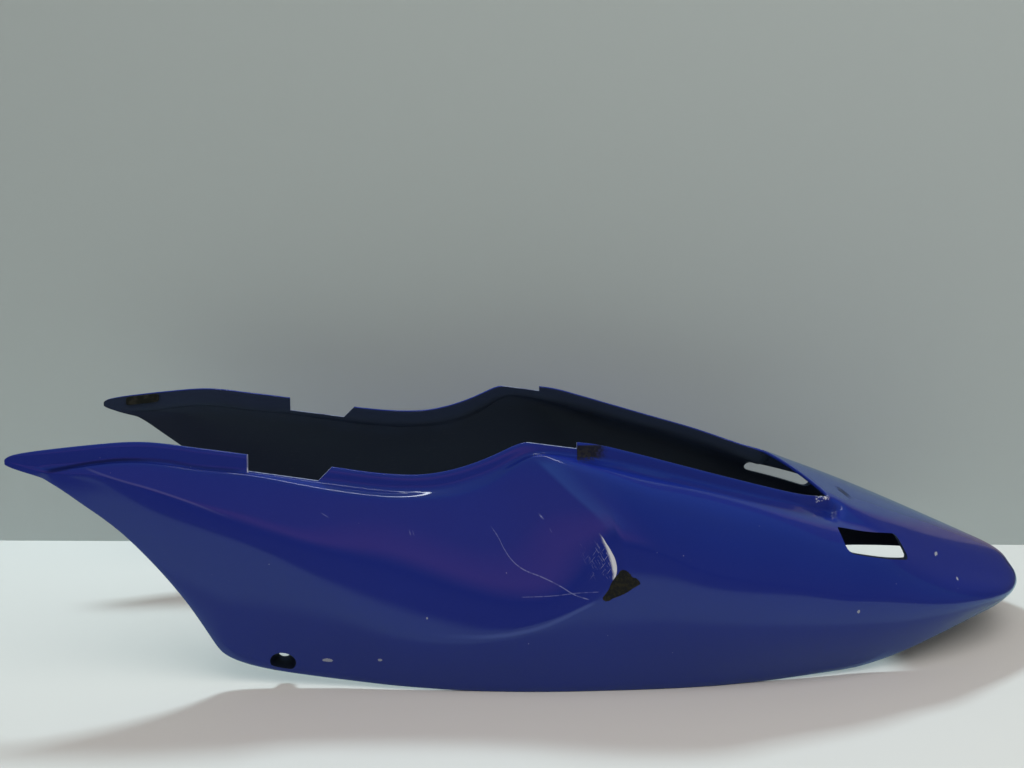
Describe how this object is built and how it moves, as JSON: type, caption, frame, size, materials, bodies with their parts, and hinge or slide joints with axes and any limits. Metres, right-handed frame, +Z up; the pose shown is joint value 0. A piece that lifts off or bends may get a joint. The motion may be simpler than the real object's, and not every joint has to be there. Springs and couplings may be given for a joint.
{
  "type": "motorcycle tail fairing",
  "caption": "One-piece painted tail fairing: two side wings that meet in a closed rounded tail, open underneath and at the seat, with side slots and fastener wells.",
  "frame": {"origin": "centre of the bounding box in plan, at the level of the surface the fairing stands on", "axes": "+X from the wing tips to the tail, which is rearward on the motorcycle; +Y to the motorcycle's right side; +Z up"},
  "size_m": [0.848, 0.3704, 0.1892],
  "materials": {
    "painted_plastic": "gloss blue lacquer over black ABS, bare and matte on the inside",
    "foam": "matte closed-cell foam"
  },
  "bodies": {
    "root": {"fairing_shell": "painted_plastic", "foam_pad_left": "foam", "foam_pad_right": "foam"}
  },
  "joints": []
}
